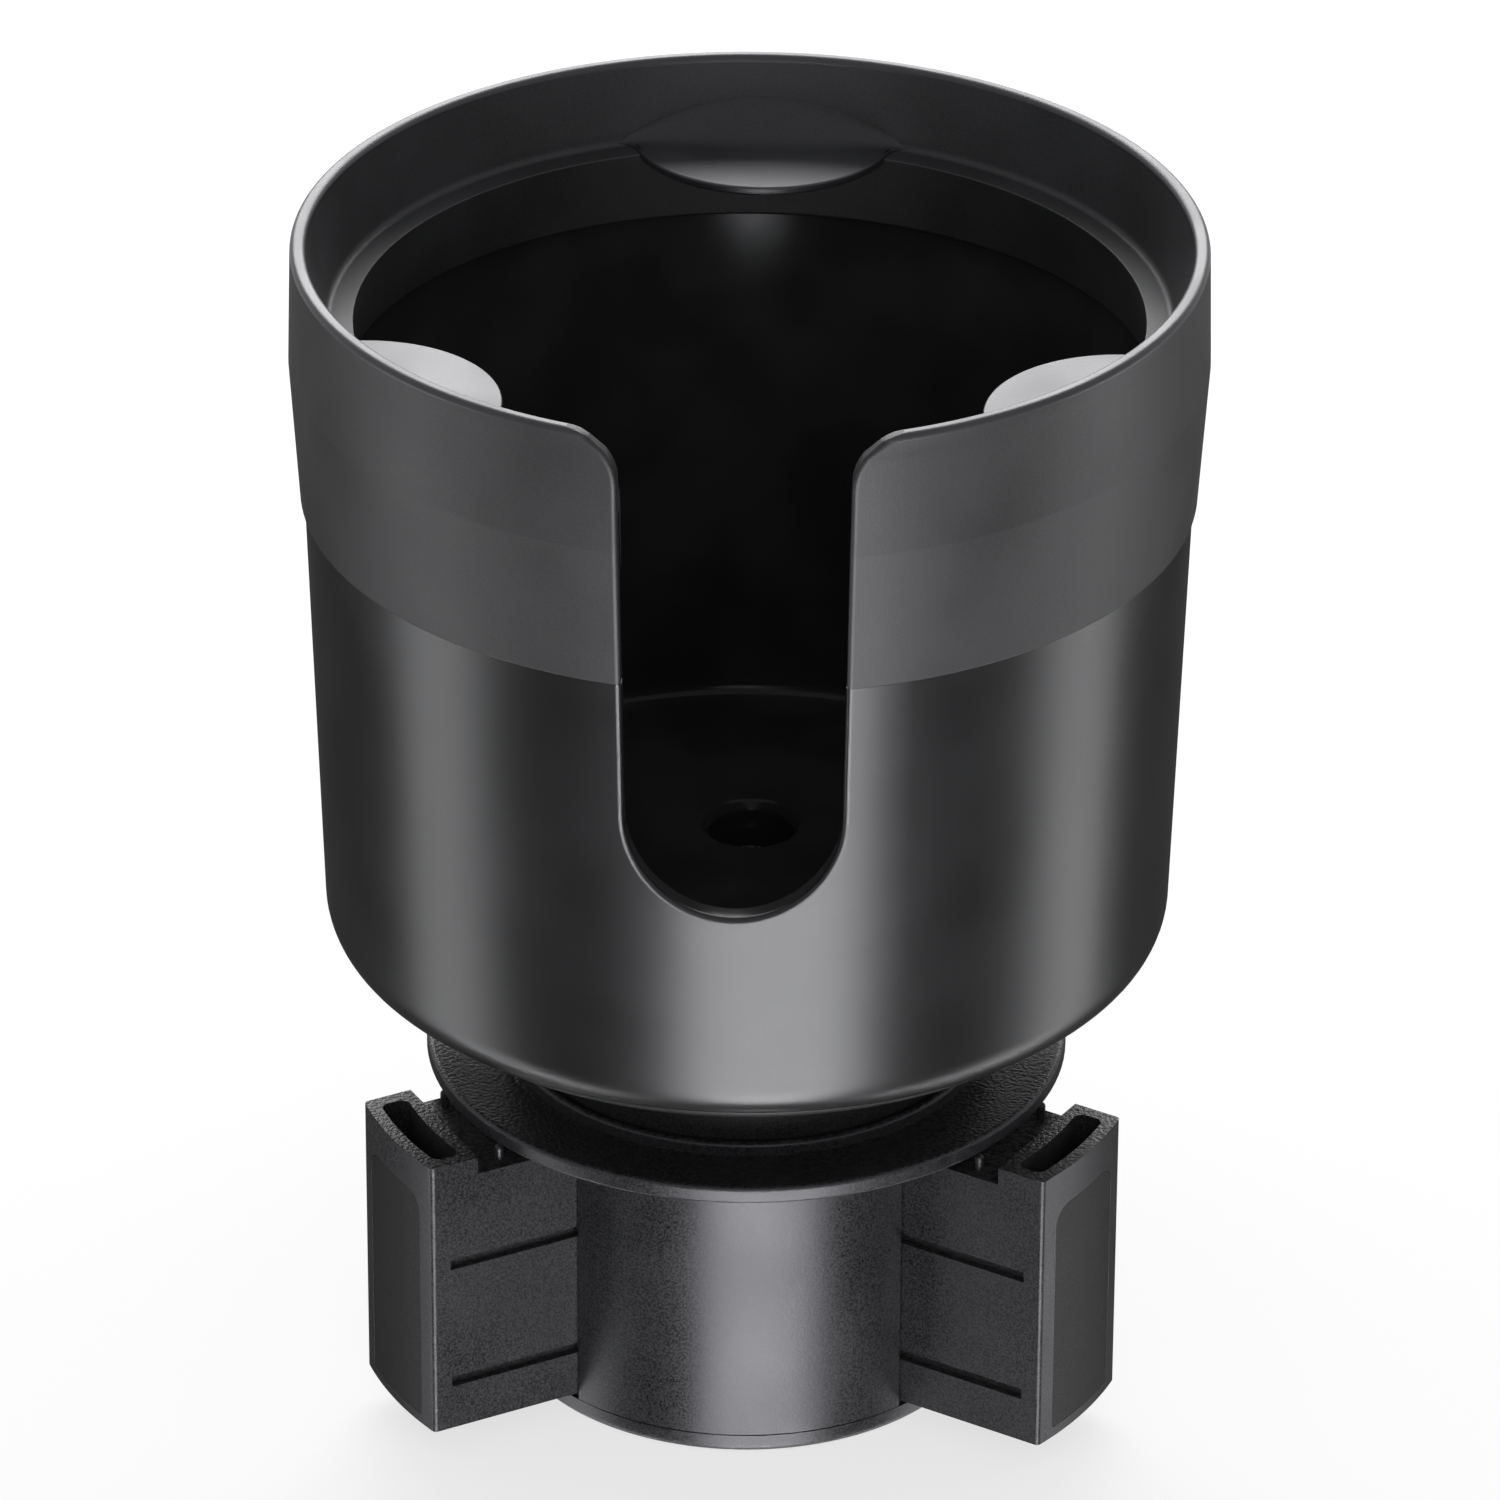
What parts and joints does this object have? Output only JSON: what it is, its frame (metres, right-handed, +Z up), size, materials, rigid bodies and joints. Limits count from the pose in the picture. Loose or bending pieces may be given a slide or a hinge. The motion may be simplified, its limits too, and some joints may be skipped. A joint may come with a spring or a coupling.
{
  "type": "cup holder expander",
  "caption": "Wide cup with a soft gripping collar and a handle slot, on a drum whose legs spread to lock it in a car's cup holder when the cup is turned.",
  "frame": {"origin": "middle of the base drum's underside, on the axis that the cup turns on", "axes": "+Z up along the cup's axis; -Y towards the handle slot at the front; +X to the right seen from the front; one leg points along +Y"},
  "size_m": [0.1114, 0.1098, 0.153],
  "materials": {
    "drum_plastic": "fine satin mould texture",
    "slip_plastic": "smooth, natural",
    "cup_plastic": "satin outside, glossy inside",
    "collar_rubber": "matte",
    "cam_plastic": "smooth",
    "leg_plastic": "fine satin mould texture",
    "pad_rubber": "matte",
    "steel": "zinc plated"
  },
  "bodies": {
    "base": {"base_housing": "drum_plastic", "bottom_cap": "drum_plastic", "cap_screws": "steel", "slip_ring": "slip_plastic"},
    "cup": {"cup_shell": "cup_plastic", "grip_collar": "collar_rubber", "neck": "drum_plastic", "cup_screws": "steel", "cam_plate": "cam_plastic", "cam_screws": "steel", "centre_screw": "steel", "centre_washer": "steel"},
    "rear_leg": {"leg_rear": "leg_plastic", "pad_rear": "pad_rubber", "pin_rear": "steel"},
    "left_leg": {"leg_left": "leg_plastic", "pad_left": "pad_rubber", "pin_left": "steel"},
    "right_leg": {"leg_right": "leg_plastic", "pad_right": "pad_rubber", "pin_right": "steel"}
  },
  "joints": [
    {"name": "cup_turn", "type": "hinge", "parent": "base", "child": "cup", "pos_m": [0, 0, 0.0035], "axis": [0, 0, 1], "range_deg": [0, 180]},
    {"name": "rear_leg_slide", "type": "slide", "parent": "base", "child": "rear_leg", "axis": [0, 1, 0], "range_m": [-0.0151, 0.0001]},
    {"name": "left_leg_slide", "type": "slide", "parent": "base", "child": "left_leg", "axis": [-0.866, -0.5, 0], "range_m": [-0.0151, 0.0001]},
    {"name": "right_leg_slide", "type": "slide", "parent": "base", "child": "right_leg", "axis": [0.866, -0.5, 0], "range_m": [-0.0151, 0.0001]}
  ],
  "couplings": [
    {"joint": "rear_leg_slide", "follows": "cup_turn", "m_per_rad": -0.0047746},
    {"joint": "left_leg_slide", "follows": "cup_turn", "m_per_rad": -0.0047746},
    {"joint": "right_leg_slide", "follows": "cup_turn", "m_per_rad": -0.0047746}
  ]
}
